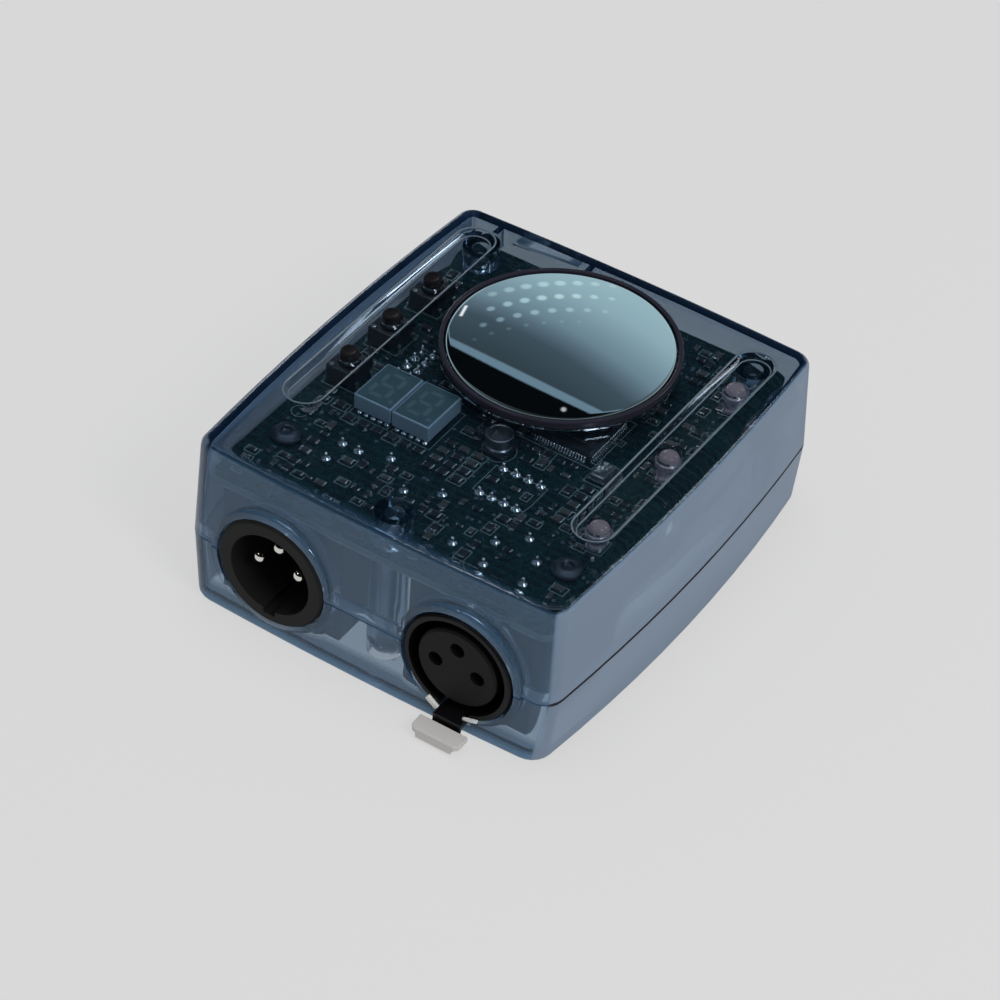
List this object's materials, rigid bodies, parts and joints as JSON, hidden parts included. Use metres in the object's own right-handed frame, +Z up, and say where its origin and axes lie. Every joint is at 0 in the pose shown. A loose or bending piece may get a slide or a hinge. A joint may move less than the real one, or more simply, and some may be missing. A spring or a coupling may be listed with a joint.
{
  "type": "wireless dmx controller",
  "caption": "Hand-sized see-through electronics box with round male and female pin connectors in front, a domed cap, push buttons and status lights on top, its circuit board showing.",
  "frame": {"origin": "on the surface that the box stands on, under the middle of its base", "axes": "+Z up, -Y towards the front with the two round connectors, +X towards the female one"},
  "size_m": [0.0796, 0.0954, 0.0381],
  "materials": {
    "smoky_case": "see-through smoky blue plastic, polished",
    "mirror_dome": "mirror-glossy smoked plastic",
    "smoky_ring": "polished dark smoky plastic",
    "board_green": "dark green solder mask, satin",
    "charcoal_plastic": "fine-grained moulded plastic",
    "black_plastic": "moulded plastic, satin",
    "insert_plastic": "fine-grained moulded plastic",
    "plated_contact": "bright nickel plating",
    "bright_tab": "bright plated metal, satin",
    "steel": "plain steel, satin",
    "display_face": "grey-blue display with a satin face",
    "clear_light": "clear moulded plastic",
    "ceramic": "matt ceramic"
  },
  "bodies": {
    "case": {"lid_shell": "smoky_case", "base_shell": "smoky_case", "dome_cap": "mirror_dome", "dome_ring": "smoky_ring", "circuit_board": "board_green", "radio_board": "board_green", "male_housing": "charcoal_plastic", "switch_1": "charcoal_plastic", "switch_2": "charcoal_plastic", "switch_3": "charcoal_plastic", "male_pin_base": "black_plastic", "female_housing": "black_plastic", "processor": "black_plastic", "line_driver": "black_plastic", "voltage_regulator": "black_plastic", "reservoir_capacitor": "black_plastic", "power_inlet": "black_plastic", "female_insert": "insert_plastic", "male_pin_1": "plated_contact", "male_pin_2": "plated_contact", "male_pin_3": "plated_contact", "female_contact_1": "plated_contact", "female_contact_2": "plated_contact", "female_contact_3": "plated_contact", "power_inlet_pin": "plated_contact", "case_screw_1": "steel", "case_screw_2": "steel", "case_screw_3": "steel", "connector_screw_1": "steel", "connector_screw_2": "steel", "latch_pin": "steel", "latch_spring": "steel", "crystal": "steel", "radio_shield": "steel", "capacitor": "steel", "display_digit_left": "display_face", "display_digit_right": "display_face", "status_light_1": "clear_light", "status_light_2": "clear_light", "status_light_3": "clear_light", "radio_antenna": "ceramic"},
    "button_1": {"button_1": "black_plastic"},
    "button_2": {"button_2": "black_plastic"},
    "button_3": {"button_3": "black_plastic"},
    "latch": {"latch_arm": "black_plastic", "latch_tab": "bright_tab"}
  },
  "joints": [
    {"name": "button_1_press", "type": "slide", "parent": "case", "child": "button_1", "axis": [0, 0, -1], "range_m": [0, 0.00025], "stiffness_N_per_m": 800, "springref_m": -0.0005},
    {"name": "button_2_press", "type": "slide", "parent": "case", "child": "button_2", "axis": [0, 0, -1], "range_m": [0, 0.00025], "stiffness_N_per_m": 800, "springref_m": -0.0005},
    {"name": "button_3_press", "type": "slide", "parent": "case", "child": "button_3", "axis": [0, 0, -1], "range_m": [0, 0.00025], "stiffness_N_per_m": 800, "springref_m": -0.0005},
    {"name": "latch_press", "type": "hinge", "parent": "case", "child": "latch", "pos_m": [0.0193, -0.03735, 0.0034], "axis": [-1, 0, 0], "range_deg": [0, 6.5], "stiffness_Nm_per_rad": 0.02, "springref_deg": -11.46}
  ]
}
